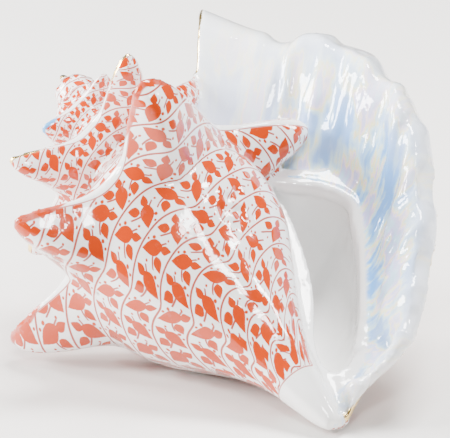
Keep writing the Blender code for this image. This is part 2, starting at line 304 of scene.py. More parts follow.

# Spines with coral tips, with gold tips, and with a painted reflection of blue sky at their edges, by
# growth angle, and how wide (mm) the colour is
CORAL_SPINES = (-20.0, 44.0, 95.0)
CORAL_WIDTH = 3.6
GOLD_SPINES = (-199.0, -265.0, -316.0, -391.0, -472.0)
GOLD_WIDTH = 2.4
SKY_REFLECTION_SPINES = (-559.0, -625.0, -678.0)
SKY_REFLECTION_WIDTH = 4.0
TIP_SPREAD = 16.0
TIP_FULLNESS = 1.6

# Gilding (mm): width along the lip's rim, and the ball at the apex as z and radius
GILT_WIDTH = 1.7
NIB_AT = 2.4
NIB_RADIUS = 2.2

# Rim step round the mouth: height and width (mm)
STEP_HEIGHT = 0.4
STEP_FROM = 0.5
STEP_TO = 3.4
STEP_EDGE = 0.5
STEP_POINTS = 9
STEP_ANGLES = (-2.0, 6.0)
STEP_CURVES = 9

# Ridges of the lip: height (mm), waves as cells along and across the lip, seed and share, and where
# they grow and fade across and along it, each as a start or end and a slope
RIDGE_HEIGHT = 3.3
RIDGE_WAVES = ((20.0, 1.6, 0.0, 1.0), (40.0, 5.0, 4.0, 0.3))
RIDGES_WITHIN = 2.0
RIDGES_GROW = (0.12, 4.0)
RIDGES_FADE = (1.05, 6.0)
RIDGES_BEGIN = (0.1, 8.0)

# Wrinkled places on the body and the crown: centre as r, growth angle and z, spread and height (mm)
WRINKLES = (((24.0, -46.0, -80.8), 7.0, 1.4), ((0.0, 0.0, -4.0), 5.5, 1.1))
WRINKLE_SCALE = 3.2
WRINKLE_REACH = 2.2

# Vent hole: r, growth angle and z, its radius, over which painted shade darkens it, and its depth
# (mm)
VENT = (31.7, 63.4, -76.2)
VENT_RADIUS = 0.6
VENT_DEPTH = 0.8

# Colours, with the lustre's as a ramp
WHITE = (0.90, 0.89, 0.875)
SHADED_WHITE = 0.97
WHITE_SCALE = 60.0
CORAL = (0.52, 0.042, 0.001)
INK = (0.36, 0.022, 0.001)
GOLD = (0.88, 0.63, 0.24)
# Blue of the sky, painted as a reflection at the edges of some spire spines
SKY_REFLECTION_BLUE = (0.10, 0.36, 0.72)
SHADE = (0.25, 0.24, 0.23)
PEARL = (
    (0.0, (0.16, 0.44, 0.95)), (0.3, (0.44, 0.74, 0.98)), (0.42, (0.66, 0.88, 0.90)),
    (0.5, (0.93, 0.90, 0.40)), (0.58, (0.96, 0.80, 0.84)), (0.7, (0.60, 0.58, 0.97)),
    (1.0, (0.50, 0.76, 0.98)),
)

# Lustre: full colour from this share of the lip's width; patches and strokes as cells along and
# across the lip and weight; how they wander; and how the colour fades to the rim and to both ends
PEARL_FULL_AT = 0.05
PATCHES = (15.0, 2.4, 3.6)
STROKES = (95.0, 4.0, 1.3)
STREAKS_FROM = 2.1
WANDER_SCALE = 70.0
WANDER = 0.9
RIM_FADE_FROM = 0.45
RIM_FADE_SLOPE = 2.2
RIM_FADE = 0.8
END_FADE_CENTRE = 0.5
END_FADE_START = 1.25
END_FADE_SLOPE = 2.0

# Gloss: roughness of the glaze, of its top coat and added on gold, and the shine under the coat
ROUGHNESS = 0.14
GILT_ROUGHER = 0.12
COAT_ROUGHNESS = 0.03
UNDER_SHINE = 0.1

# Fine unevenness of the glaze as noise scale, detail and height (mm), and how far paint stands up
SWELLS = ((110.0, 1.0, 0.5), (420.0, 2.0, 0.04))
PAINT_RAISED = 0.01

# Floor: size and place (m), colours, grain and roughness; and the light of the room
FLOOR_SIZE = 6.0
FLOOR_PLACE = (0.0, 1.0, -0.0001)
FLOOR_COLOURS = ((0.79, 0.765, 0.735), (0.77, 0.745, 0.715))
FLOOR_GRAIN = 30.0
FLOOR_ROUGHNESS = 0.6
ROOM_COLOUR = (0.80, 0.81, 0.80, 1.0)
ROOM_LIGHT = 0.15

# Soft lights: name, place, width and height (m), and power (W)
LIGHTS_FACE = (0.0, 0.0, 0.04)
SOFTBOXES = (
    ("overhead", (0.18, 0.24, 0.87), 0.4, 0.28, 24.0),
    ("window_pane_front", (-0.9, -0.1, 0.36), 0.26, 0.4, 26.0),
    ("window_pane_back", (-0.8, 0.36, 0.4), 0.24, 0.4, 18.0),
    ("front_window", (0.0, -0.95, 0.92), 0.18, 0.24, 10.0),
    ("right_window", (0.8, 0.05, 0.75), 0.14, 0.18, 7.0),
)

# Camera: its place (m), pitch (degrees) and lens (mm)
CAMERA_PLACE = (0.00097, -1.0362, 0.4163)
CAMERA_PITCH = 70.0
LENS = 303.4


def smooth_step(t):
    t = np.clip(t, 0.0, 1.0)
    return t * t * (3.0 - 2.0 * t)


def smooth_curve(points, count, closed=False):
    """Points of a Catmull-Rom curve through the given ones."""
    points = np.asarray(points, float)
    if closed:
        knots = np.vstack([points[-1:], points, points[:2]])
    else:
        knots = np.vstack([2 * points[0] - points[1], points, 2 * points[-1] - points[-2]])
    spans = len(knots) - 3
    at = np.linspace(0.0, spans, count, endpoint=not closed)
    index = np.minimum(at.astype(int), spans - 1)
    t = (at - index)[:, None]
    p0, p1, p2, p3 = (knots[index + step] for step in range(4))
    linear = (p2 - p0) * t
    square = (2 * p0 - 5 * p1 + 4 * p2 - p3) * t**2
    cube = (3 * p1 - p0 - 3 * p2 + p3) * t**3
    return 0.5 * (2 * p1 + linear + square + cube)


def spines(angle):
    """How far the keel stands out at each growth angle, how far its edge lifts and its root drops."""
    reach = np.zeros_like(angle)
    lift = np.zeros_like(angle)
    drop = np.zeros_like(angle)
    for centre, share, tip_lift, before, after, root in SPINES:
        away = np.abs(angle - centre) / np.where(angle < centre, before, after)
        away = np.hypot(away, SPINE_TIP) - SPINE_TIP
        near = np.clip(1.0 - away, 0.0, 1.0) ** SPINE_SHARPNESS
        lift = np.where(share * near > reach, tip_lift * near, lift)
        drop = np.maximum(drop, root * near)
        reach = np.maximum(reach, share * near)
    return reach, lift, drop


def whorl_section(angle):
    """The coil's outer curve at each growth angle, from the suture to the canal: r and z grids."""
    angle = angle[:, None]
    turn = angle / 360.0
    size = np.exp(RADIUS_GROWTH * turn)
    reach, lift, drop = spines(angle)
    mouth = smooth_step((angle - MOUTH_SWELL_FROM) / (MOUTH_ANGLE - MOUTH_SWELL_FROM))
    keel_r = KEEL_RADIUS * size + MOUTH_KEEL_SWELL * mouth
    keel_z = -KEEL_DROP * np.exp(DROP_GROWTH * turn) + MOUTH_KEEL_RISE * mouth
    tip_r = keel_r + (TIP_RADIUS * size - keel_r).clip(0.0) * reach + FLANGE_EDGE * size
    tip_z = keel_z + lift * size

    shoulder = np.linspace(0.0, 1.0, SHOULDER_POINTS)
    suture_r = SUTURE_RADIUS_SHARE * keel_r
    suture_z = SUTURE_DROP_SHARE * keel_z
    root_z = keel_z + FLANGE_TOP * size
    shoulder_r = suture_r + (keel_r - suture_r) * shoulder
    shoulder_z = suture_z + (root_z - suture_z) * shoulder**SHOULDER_CURVE

    out = np.linspace(0.0, 1.0, FLANGE_POINTS + 1)[1:]
    top_r = keel_r + (tip_r - keel_r) * out
    fullness = np.clip(EDGE_POWER - EDGE_POWER_LOST * reach, LEAST_EDGE_POWER, EDGE_POWER)
    top_z = tip_z + (root_z - tip_z) * (1.0 - out) ** fullness
    base_top = keel_z - (FLANGE_BOTTOM + drop) * size
    under_r = keel_r + (tip_r - keel_r) * (1.0 - out)
    under_z = tip_z + (base_top - tip_z) * out**fullness

    outline = smooth_curve(BASE_OUTLINE, BASE_POINTS + 1)[1:]
    down = outline[:, 0]
    floor = -LENGTH * smooth_step((angle - CANAL_GROWS_FROM) / CANAL_GROWS_OVER)
    floor = np.minimum(floor, SPIRE_BASE_SHARE * keel_z)
    base_z = base_top + (floor - base_top) * down
    base_r = keel_r * outline[:, 1]
    swell = smooth_curve(MOUTH_SWELL_OUTLINE, CURVE_POINTS)
    base_r = base_r + MOUTH_SWELL * mouth * np.interp(down, swell[:, 0], swell[:, 1])
    inner_lip = np.exp(-(((angle - INNER_LIP_ANGLE) / INNER_LIP_SPREAD) ** 2))
    inner_lip = inner_lip * np.exp(-(((down - INNER_LIP_DOWN) / INNER_LIP_DOWN) ** 2))
    base_r = base_r + INNER_LIP_SWELL * inner_lip

    r = np.hstack([shoulder_r, top_r, under_r, base_r])
    z = np.hstack([shoulder_z, top_z, under_z, base_z])
    return r, z


def canal_shift(z):
    return CANAL_SHIFT * smooth_step((-z - CANAL_SHIFT_FROM) / CANAL_SHIFT_OVER)


def place(r, angle, z, shift=0.0):
    """Shell frame (mm, degrees) to the resting pose (m)."""
    a = np.radians(angle)
    tilt, roll, pitch = (math.radians(v) for v in (AXIS_TILT, AXIS_ROLL, BODY_PITCH))
    side = -r * np.sin(a) + shift
    front = r * np.cos(a)
    up = z * math.cos(tilt) - front * math.sin(tilt)
    near = z * math.sin(tilt) + front * math.cos(tilt)
    across = side * math.cos(roll) - up * math.sin(roll)
    high = side * math.sin(roll) + up * math.cos(roll)
    x = across - ORIGIN_ACROSS
    y = high * math.sin(pitch) - near * math.cos(pitch) - ORIGIN_AWAY
    height = high * math.cos(pitch) + near * math.sin(pitch) + APEX_HEIGHT
    return np.stack([x, y, height], axis=-1) * 0.001


def shell_frame(points):
    """Resting pose (m) back to the shell frame: r, angle (-180 to 180 degrees) and z."""
    tilt, roll, pitch = (math.radians(v) for v in (AXIS_TILT, AXIS_ROLL, BODY_PITCH))
    across = points[:, 0] * 1000.0 + ORIGIN_ACROSS
    y = points[:, 1] * 1000.0 + ORIGIN_AWAY
    height = points[:, 2] * 1000.0 - APEX_HEIGHT
    high = y * math.sin(pitch) + height * math.cos(pitch)
    near = -y * math.cos(pitch) + height * math.sin(pitch)
    side = across * math.cos(roll) + high * math.sin(roll)
    up = -across * math.sin(roll) + high * math.cos(roll)
    z = up * math.cos(tilt) + near * math.sin(tilt)
    front = -up * math.sin(tilt) + near * math.cos(tilt)
    side = side - canal_shift(z)
    return np.hypot(side, front), np.degrees(np.arctan2(-side, front)), z


def grid_faces(rows, columns, wrap=False):
    faces = []
    for i in range(rows - 1):
        for j in range(columns if wrap else columns - 1):
            k = (j + 1) % columns
            a = i * columns
            b = a + columns
            faces.append((a + j, a + k, b + k, b + j))
    return faces


def tube(rings):
    """A closed tube through rings of points, with a flat cap on each end."""
    rows, columns = rings.shape[:2]
    faces = grid_faces(rows, columns, wrap=True)
    faces.append(tuple(range(columns)))
    faces.append(tuple(range((rows - 1) * columns, rows * columns))[::-1])
    return rings.reshape(-1, 3), faces


def coil():
    """The whorls as one tube: each section runs down its outer curve and back along the axis."""
    first = -360.0 * WHORLS_ABOVE
    count = int((MOUTH_ANGLE - first) / 360.0 * STEPS_PER_TURN)
    angle = np.linspace(first, MOUTH_ANGLE, count)
    r, z = whorl_section(angle)
    back = np.linspace(0.0, 1.0, AXIS_POINTS + 2)[1:-1]
    axis_z = z[:, -1:] + (z[:, :1] - z[:, -1:]) * back
    axis_r = np.full_like(axis_z, CORE_RADIUS)
    r = np.hstack([r, axis_r])
    z = np.hstack([z, axis_z])
    return tube(place(r, angle[:, None], z, canal_shift(z)))


def crown():
    """The rounded top of the spire, with a spiral row of knobs."""
    outline = smooth_curve(CROWN, CURVE_POINTS)
    angle = np.linspace(0.0, 360.0, CROWN_SIDES, endpoint=False)
    r, z = outline[:, :1], outline[:, 1:] + 0.0 * angle
    ridge = (1.0 + np.cos(2.0 * np.pi * (z / CROWN_PITCH - angle / 360.0))) / 2.0
    knobs = 1.0 - KNOB_SHARE + KNOB_SHARE * np.cos(np.radians(angle) * KNOBS)
    grown = smooth_step((r - KNOBS_FROM_RADIUS) / KNOBS_GROW_OVER)
    return tube(place(r + CROWN_RIDGE * (ridge * knobs - 0.5) * grown, angle, z))


def canal_tip():
    """A ball that rounds off the tip of the canal, where the lip runs into it."""
    centre = place(*(np.float64(value) for value in CANAL_TIP))
    turn = np.linspace(0.0, 2.0 * np.pi, TIP_SIDES, endpoint=False)
    rings = []
    for rise in np.radians(np.linspace(-TIP_LAST_RING, TIP_LAST_RING, TIP_RINGS)):
        across = np.cos(turn) * math.cos(rise)
        away = np.sin(turn) * math.cos(rise)
        up = np.full(len(turn), math.sin(rise))
        rings.append(centre + np.column_stack([across, away, up]) * CANAL_TIP_RADIUS * 0.001)
    return tube(np.array(rings))


def lip_face():
    """The face of the flared lip: rows from the spire to the canal, columns from throat to edge."""
    edge = smooth_curve(LIP_EDGE, LIP_ROWS)
    inner = smooth_curve(LIP_INNER, LIP_ROWS)
    t = np.linspace(0.0, 1.0, LIP_COLUMNS)
    s = np.linspace(0.0, 1.0, LIP_ROWS)[:, None]
    folds = sum(depth * np.exp(-(((s - at) / FLUTE_WIDTH) ** 2)) for at, depth in FLUTES)
    r = inner[:, :1] + (edge[:, :1] - inner[:, :1]) * t + SCALLOP * folds * t**SCALLOP_FADE_POWER
    z = inner[:, 1:] + (edge[:, 1:] - inner[:, 1:]) * t
    z = z + LIP_CORNER_BULGE * np.sin(np.pi * t) * np.clip(1.0 - s / LIP_CORNER_UNTIL, 0.0, 1.0)
    rise = (LIP_CREST_ANGLE - LIP_THROAT_ANGLE) * smooth_step(t / LIP_CREST_AT)
    roll = LIP_ROLL * np.clip((t - LIP_CREST_AT) / (1.0 - LIP_CREST_AT), 0.0, 1.0) ** 2
    lean = LIP_LEAN * (1.0 - smooth_step(s / LIP_LEAN_UNTIL))
    flute = np.degrees(folds * t**FLUTE_FADE_POWER / np.maximum(r, LEAST_FLUTED_RADIUS))
    return place(r, LIP_THROAT_ANGLE + rise - roll - lean + flute, z)


def lip_back(face):
    """The lip's back, an even thickness behind its face."""
    normal = np.cross(np.gradient(face, axis=0), np.gradient(face, axis=1))
    normal /= np.linalg.norm(normal, axis=2, keepdims=True)
    away = np.sign(normal[..., 1:2].mean())
    return face + normal * away * LIP_THICKNESS * 0.001


def throat():
    """A tube that follows the coil into the shell from the mouth and narrows to its end."""
    outline = smooth_curve(THROAT, CURVE_POINTS, closed=True)
    centre = np.array(THROAT_CENTRE)
    stations = [(THROAT_FRONT_ANGLE, 1.0), (LIP_THROAT_ANGLE, 1.0)]
    for t in np.linspace(0.0, 1.0, THROAT_RINGS + 1)[1:]:
        size = THROAT_NARROWS_TO + (1.0 - THROAT_NARROWS_TO) * math.sqrt(1.0 - t**THROAT_ROUNDING)
        stations.append((LIP_THROAT_ANGLE - THROAT_TURN * t, size))
    rings = []
    for angle, size in stations:
        ring = centre + (outline - centre) * size
        rings.append(place(ring[:, 0], np.full(len(ring), angle), ring[:, 1]))
    return tube(np.array(rings))


def mesh_object(name, *shapes):
    """One object of the given closed shapes, each with its faces pointing out."""
    mesh = bpy.data.meshes.new(name)
    bm = bmesh.new()
    for points, faces in shapes:
        verts = [bm.verts.new(point) for point in points]
        for face in faces:
            bm.faces.new([verts[i] for i in face])
    bmesh.ops.recalc_face_normals(bm, faces=bm.faces)
    bm.to_mesh(mesh)
    bm.free()
    obj = bpy.data.objects.new(name, mesh)
    bpy.context.scene.collection.objects.link(obj)
    return obj


def remesh(obj, name):
    skin = obj.modifiers.new(name, "REMESH")
    skin.mode = "VOXEL"
    skin.voxel_size = VOXEL * 0.001


def cut(target, name, shape):
    """Take a closed shape away from the target."""
    cutter = mesh_object(name, shape)
    modifier = target.modifiers.new(name, "BOOLEAN")
    modifier.operation = "DIFFERENCE"
    modifier.object = cutter
    return cutter


def fine_form(face, back):
    """The whole form as one even mesh of four-sided faces."""
    sheet = tube(np.concatenate([face, back[:, ::-1]], axis=1))
    shell = mesh_object("glazed_shell", coil(), crown(), canal_tip(), sheet)
    remesh(shell, "skin")
    cutter = cut(shell, "throat", throat())
    remesh(shell, "even")
    smooth = shell.modifiers.new("smooth", "SMOOTH")
    smooth.iterations = SMOOTHING_STEPS
    graph = bpy.context.evaluated_depsgraph_get()
    mesh = bpy.data.meshes.new_from_object(shell.evaluated_get(graph), depsgraph=graph)
    shell.modifiers.clear()
    shell.data = mesh
    bpy.data.objects.remove(cutter)
    return shell


def numbers(items, name, width, kind=float):
    """One property of every vertex, face or corner as rows of numbers."""
    flat = np.empty(len(items) * width, kind)
    items.foreach_get(name, flat)
    return flat.reshape(-1, width)


def section_table():
    """Sections of the coil at even steps of growth angle, with the arc along each."""
    first = -360.0 * WHORLS_ABOVE
    angle = np.arange(first, MOUTH_ANGLE + TABLE_STEP / 2.0, TABLE_STEP)
    r, z = whorl_section(angle)
    arc = np.hypot(np.diff(r, axis=1), np.diff(z, axis=1)).cumsum(axis=1)
    arc = np.hstack([np.zeros((len(angle), 1)), arc])
    return first, r, z, arc


def nearest_on_section(table, growth, r, z):
    """Distance from the coil's section at each growth angle, arc along it, and its landmarks."""
    first, table_r, table_z, table_arc = table
    last = len(table_r) - 1
    at = np.clip((growth - first) / TABLE_STEP, 0.0, last - 0.001)
    row = at.astype(int)
    part = (at - row)[:, None]
    start_r, start_z, arc = (
        grid[row] * (1.0 - part) + grid[row + 1] * part for grid in (table_r, table_z, table_arc)
    )
    step_r, step_z = np.diff(start_r, axis=1), np.diff(start_z, axis=1)
    off_r, off_z = r[:, None] - start_r[:, :-1], z[:, None] - start_z[:, :-1]
    length = np.maximum(step_r**2 + step_z**2, 1e-6)
    along = np.clip((off_r * step_r + off_z * step_z) / length, 0.0, 1.0)
    distance = np.hypot(off_r - along * step_r, off_z - along * step_z)
    best = distance.argmin(axis=1)
    pick = np.arange(len(best))
    here = arc[pick, best] + along[pick, best] * np.sqrt(length[pick, best])
    tip = arc[:, SHOULDER_POINTS + FLANGE_POINTS - 1]
    base_top = arc[:, SHOULDER_POINTS + 2 * FLANGE_POINTS - 1]
    return distance[pick, best], here, tip, base_top


def coil_coordinates(r, angle, z):
    """For each point and each whorl it may lie on: distance, growth angle, row and edge distance."""
    table = section_table()
    whorls = []
    for turns in WHORLS_TRIED:
        growth = angle + 360.0 * turns
        found = [np.empty(len(r)) for _ in range(3)]
        for start in range(0, len(r), CHUNK):
            part = slice(start, start + CHUNK)
            distance, here, tip, base_top = nearest_on_section(table, growth[part], r[part], z[part])
            size = np.exp(RADIUS_GROWTH * growth[part] / 360.0)
            below = (here - base_top) / (BAND * size)
            above = SHOULDER_ROWS - here / (BAND * size)
            found[0][part] = distance
            found[1][part] = np.where(here > tip, below, above)
            found[2][part] = here - tip
        outside = np.maximum(growth - MOUTH_ANGLE, -360.0 * WHORLS_ABOVE - growth)
        found[0] += np.maximum(outside - END_SLACK, 0.0)
        whorls.append((found[0], growth, found[1], found[2]))
    return [np.array(values) for values in zip(*whorls)]


def lip_coordinates(points, face, back):
    """Distances from the lip's face and back, and the place along (s) and across (t) the lip."""
    sheets = []
    for grid in (face, back):
        quads = grid_faces(LIP_ROWS, LIP_COLUMNS)
        tree = BVHTree.FromPolygons([tuple(p) for p in grid.reshape(-1, 3)], quads)
        distance = np.empty(len(points))
        place_on = np.empty((len(points), 2))
        for i, point in enumerate(points):
            hit, _, index, away = tree.find_nearest(point)
            row, column = divmod(index, LIP_COLUMNS - 1)
            corner = grid[row, column]
            down = grid[row + 1, column] - corner
            out = grid[row, column + 1] - corner
            offset = np.array(hit) - corner
            place_on[i, 0] = row + (offset @ down) / max(down @ down, 1e-12)
            place_on[i, 1] = column + (offset @ out) / max(out @ out, 1e-12)
            distance[i] = away * 1000.0
        place_on[:, 0] /= LIP_ROWS - 1
        place_on[:, 1] /= LIP_COLUMNS - 1
        sheets.append((distance, place_on))
    return sheets


def distance_to_shape(points, shape):
    """Distance in millimetres from each point to the nearest point of a shape."""
    tree = BVHTree.FromPolygons([tuple(p) for p in shape[0]], shape[1])
    return np.array([tree.find_nearest(point)[3] for point in points]) * 1000.0


def distance_to_curve(points, curve):
    """Distance in millimetres from each point to the nearest point of a dense curve."""
    found = np.empty(len(points))
    for start in range(0, len(points), CHUNK):
        part = slice(start, start + CHUNK)
        gaps = np.linalg.norm(points[part, None, :] - curve[None, :, :], axis=2)
        found[part] = gaps.min(axis=1)
    return found * 1000.0


def tip_mask(growth, edge, centres, width):
    """One at the edge of the keel beside the given spine tips, falling to nothing around them."""
    near = np.zeros_like(growth)
    for centre in centres:
        near = np.maximum(near, 1.0 - np.abs(growth - centre) / TIP_SPREAD)
    size = np.exp(RADIUS_GROWTH * growth / 360.0)
    reach = smooth_step(near * TIP_FULLNESS) * width * size
    return reach - np.abs(edge)


def paint_coordinates(mesh, face, back):
    """Store on every face corner where it lies in the painting, for the material to use."""
    points = numbers(mesh.vertices, "co", 3)
    corners = numbers(mesh.loops, "vertex_index", 1, np.int32).reshape(-1, 4)
    r, angle, z = shell_frame(points)
    coil_distance, growths, rows, edges = coil_coordinates(r, angle, z)
    (face_distance, face_place), (back_distance, back_place) = lip_coordinates(points, face, back)
    throat_distance = distance_to_shape(points, throat())

    best = coil_distance.argmin(axis=0)
    every = np.arange(len(points))
    nearest_coil = coil_distance[best, every]
    distances = [
        nearest_coil + LIP_FIRST, face_distance, back_distance, throat_distance + LIP_FIRST,
    ]
    region = np.array(distances)[:, corners].mean(axis=2).argmin(axis=0)

    first = corners[:, 0]
    growth = growths[best[first], first]
    whorl = np.rint((growth[:, None] - angle[corners]) / 360.0).astype(int)
    chosen = np.clip(whorl - WHORLS_TRIED[0], 0, len(WHORLS_TRIED) - 1)
    growth = angle[corners] + 360.0 * whorl
    row = rows[chosen, corners]
    edge = edges[chosen, corners]
    size = np.exp(RADIUS_GROWTH * growth / 360.0)
    radius = r[corners]

    paint = paint_edge(r, angle, z)[corners]
    on_coil = (region == 0)[:, None]
    crown_point = (z[corners] > CROWN_ABOVE) & (radius < CROWN_WITHIN)
    on_back = (region == 2)[:, None]

    row = np.where(crown_point, CROWN_ROWS + z[corners] / (BAND * CROWN_SCALE), row)
    size = np.where(crown_point, CROWN_SCALE, size)
    turns = np.where(crown_point, angle[corners] / 360.0, growth / 360.0)

    along, across = back_place[corners, 0], back_place[corners, 1]
    row = np.where(on_back, BACK_ROWS - across * BACK_BANDS, row)
    turns = np.where(on_back, along * BACK_TURNS, turns)
    size = np.where(on_back, 1.0, size)
    radius = np.where(on_back, BACK_AROUND, radius)
    edge = np.where(crown_point | on_back, NO_KEEL, edge)

    behind = back_distance[corners] < face_distance[corners]
    on_coil = on_coil & ((growth < BEHIND_LIP_FROM) | behind)
    outside = on_coil | on_back | crown_point
    early = growth < MOUTH_SWELL_FROM
    paint = np.where(crown_point | ~early, WELL_INSIDE, paint)
    paint = np.where(outside, paint, -WELL_INSIDE)
    (last_along, length), (last_across, width) = BACK_ENDS
    back_paint = np.minimum((last_along - along) * length, (last_across - across) * width)
    paint = np.where(on_back, back_paint, paint)

    middle = (face + back) / 2.0
    rim = distance_to_curve(points, np.concatenate([middle[0], middle[:, -1]]))
    nib = NIB_RADIUS - np.hypot(r, z - NIB_AT)
    tips = tip_mask(growth, edge, GOLD_SPINES, GOLD_WIDTH)
    gold = np.maximum(np.maximum(GILT_WIDTH - rim, nib)[corners], np.where(on_coil, tips, NO_TIP))
    coral = np.where(on_coil, tip_mask(growth, edge, CORAL_SPINES, CORAL_WIDTH), NO_TIP)
    # Painted reflection of blue sky at the edges of some spire spines
    sky_reflection = np.where(on_coil, tip_mask(growth, edge, SKY_REFLECTION_SPINES, SKY_REFLECTION_WIDTH), NO_TIP)

    lip = (region == 1)[:, None] & np.ones_like(corners, bool)
    pearl = np.where(lip, smooth_step(face_place[corners, 1] / PEARL_FULL_AT), 0.0)
    stored = {
        "turns": turns,
        "row": row,
        "radius": radius,
        "size": size,
        "edge": edge,
        "paint": paint,
        "gold": gold,
        "coral": coral,
        "sky_reflection": sky_reflection,
        "pearl": pearl,
        # Painted shade in the vent hole: mm inside its radius
        "vent_shade": VENT_RADIUS - np.linalg.norm(points * 1000.0 - vent_place(), axis=1)[corners],
        "lip_s": np.where(lip, face_place[corners, 0], 0.0),
        "lip_t": np.where(lip, face_place[corners, 1], 0.0),
    }
    for name, values in stored.items():
        attribute = mesh.attributes.new(name, "FLOAT", "CORNER")
        attribute.data.foreach_set("value", values.astype(np.float32).ravel())
    return face_distance, face_place


def vent_place():
    """Centre of the vent hole (mm) in the resting pose."""
    return place(*(np.float64(value) for value in VENT)) * 1000.0


def paint_edge(r, angle, z):
    """How far inside the painted area each point of the body whorl's front lies (mm)."""
    ends = np.array(PAINT_ENDS)
    line = np.interp(-z, -ends[:, 0], ends[:, 1])
    side = np.radians(angle - line) * r
    return np.minimum(np.maximum(side, z - ends[0, 0]), z - PLATE_BELOW)


class Number:
    """A number in a material's node tree, which ordinary arithmetic extends with Math nodes."""

    def __init__(self, tree, socket):
        self.tree = tree
        self.socket = socket

    def math(self, operation, *others, clamp=False):
        node = self.tree.nodes.new("ShaderNodeMath")
        node.operation = operation
        node.use_clamp = clamp
        for slot, value in zip(node.inputs, (self, *others)):
            if isinstance(value, Number):
                self.tree.links.new(value.socket, slot)
            else:
                slot.default_value = value
        return Number(self.tree, node.outputs[0])

    def __add__(self, other):
        return self.math("ADD", other)

    def __radd__(self, other):
        return self.math("ADD", other)

    def __sub__(self, other):
        return self.math("SUBTRACT", other)

    def __rsub__(self, other):
        return self.math("MULTIPLY", -1.0).math("ADD", other)

    def __mul__(self, other):
        return self.math("MULTIPLY", other)

    def __truediv__(self, other):
        return self.math("DIVIDE", other)

    def largest(self, other):
        return self.math("MAXIMUM", other)

    def between_0_and_1(self):
        return self.math("MULTIPLY", 1.0, clamp=True)

    def soft(self, width):
        """One where the number is above nothing, with a soft edge of the given width."""
        return (self / width + 0.5).between_0_and_1()


def attribute(tree, name):
    """A number that paint_coordinates stored on the mesh."""
    node = tree.nodes.new("ShaderNodeAttribute")
    node.attribute_name = name
    return Number(tree, node.outputs["Fac"])


def vector(tree, x, y, z):
    node = tree.nodes.new("ShaderNodeCombineXYZ")
    for slot, value in zip(node.inputs, (x, y, z)):
        if isinstance(value, Number):
            tree.links.new(value.socket, slot)
        else:
            slot.default_value = value
    return node.outputs[0]


def noise(tree, place_socket, scale, detail=2.0):
    node = tree.nodes.new("ShaderNodeTexNoise")
    node.inputs["Scale"].default_value = scale
    node.inputs["Detail"].default_value = detail
    tree.links.new(place_socket, node.inputs["Vector"])
    return Number(tree, node.outputs["Fac"])


def mix(tree, share, low, high):
    """A blend of two colours, which are tuples or sockets."""
    node = tree.nodes.new("ShaderNodeMix")
    node.data_type = "RGBA"
    factor, first, second = (node.inputs[i] for i in (0, 6, 7))
    for slot, value in ((factor, share), (first, low), (second, high)):
        if isinstance(value, Number):
            tree.links.new(value.socket, slot)
        elif isinstance(value, bpy.types.NodeSocket):
            tree.links.new(value, slot)
        elif isinstance(value, tuple):
            slot.default_value = (*value, 1.0)
        else:
            slot.default_value = value
    return node.outputs[2]


def leaf(x, y, start, end, width):
    """Distance inside a pointed leaf (mm) whose midrib runs from start to end."""
    length = math.dist(start, end)
    along_x, along_y = (end[0] - start[0]) / length, (end[1] - start[1]) / length
    along = ((x - start[0]) * along_x + (y - start[1]) * along_y) / length
    across = (y - start[1]) * along_x - (x - start[0]) * along_y
    inside = along.between_0_and_1()
    shape = (inside.math("POWER", LEAF_POWER) * math.pi).math("SINE") * width
    return shape - across.math("ABSOLUTE") - (along - inside).math("ABSOLUTE") * length


def berry(x, y, across, up, radius):
    """Distance inside a round berry (mm)."""
    off_x, off_y = x - across, y - up
    return radius - (off_x * off_x + off_y * off_y).math("SQRT")


def sprigs(tree):
    """A winding stem with leaves and berries in each band: mm inside its fills and its lines."""
    row = attribute(tree, "row")
    band = row.math("FLOOR")
    middle = band + 0.5
    up = (row - middle) * BAND
    taper = (1.0 - middle * BASE_TAPER).largest(LEAST_BASE)
    base_r = taper.math("POWER", BASE_TAPER_POWER) * KEEL_RADIUS
    keel_r = KEEL_RADIUS - middle * (FLANGE_SLOPE * BAND)
    suture_r = KEEL_RADIUS * SUTURE_RADIUS_SHARE
    shoulder_r = suture_r + (SHOULDER_ROWS - middle) * (SHOULDER_SLOPE * BAND)
    on_base = middle.math("GREATER_THAN", 0.0)
    on_keel = band.math("GREATER_THAN", LAST_KEEL_ROW)
    on_shoulder = band.math("GREATER_THAN", LAST_SHOULDER_ROW)
    on_crown = band.math("GREATER_THAN", LAST_CROWN_ROW)
    around = base_r * on_base + keel_r * (on_keel - on_base) + shoulder_r * (on_shoulder - on_keel)
    around = around + (on_crown - on_shoulder) * CROWN_AROUND + (1.0 - on_crown) * BACK_AROUND
    count = (around * (math.pi / SPRIG)).math("ROUND").largest(1.0) * 2.0
    turns = attribute(tree, "turns") * count + band * 0.5
    cell = turns.math("FLOOR")
    flip = 1.0 - (cell * 0.5).math("FRACT") * 4.0
    reach = attribute(tree, "radius") / attribute(tree, "size")
    width = (reach / count * (2.0 * math.pi)).largest(SPRIG * LEAST_SPRIG)
    across = (turns - cell - 0.5) * width
    up = up * flip

    stem = ((turns - cell) * math.pi).math("SINE") * STEM_BEND - STEM_LOW
    line = LINE - (up - stem).math("ABSOLUTE")
    filled = berry(across, up, *BERRIES[0])
    for place_of_berry in BERRIES[1:]:
        filled = filled.largest(berry(across, up, *place_of_berry))
    for start, end, half_width in LEAVES:
        filled = filled.largest(leaf(across, up, start, end, half_width))
    between = LINE - (up.math("ABSOLUTE") - BAND / 2.0).math("ABSOLUTE")
    return filled, line.largest(between)


def lip_noise(tree, cells, wander_along, wander_across, seed, detail):
    """Noise in cells along and across the lip, times its weight."""
    along, across, weight = cells
    s = attribute(tree, "lip_s") * along + wander_along
    t = attribute(tree, "lip_t") * across + wander_across
    return noise(tree, vector(tree, s, t, seed), 1.0, detail) * weight


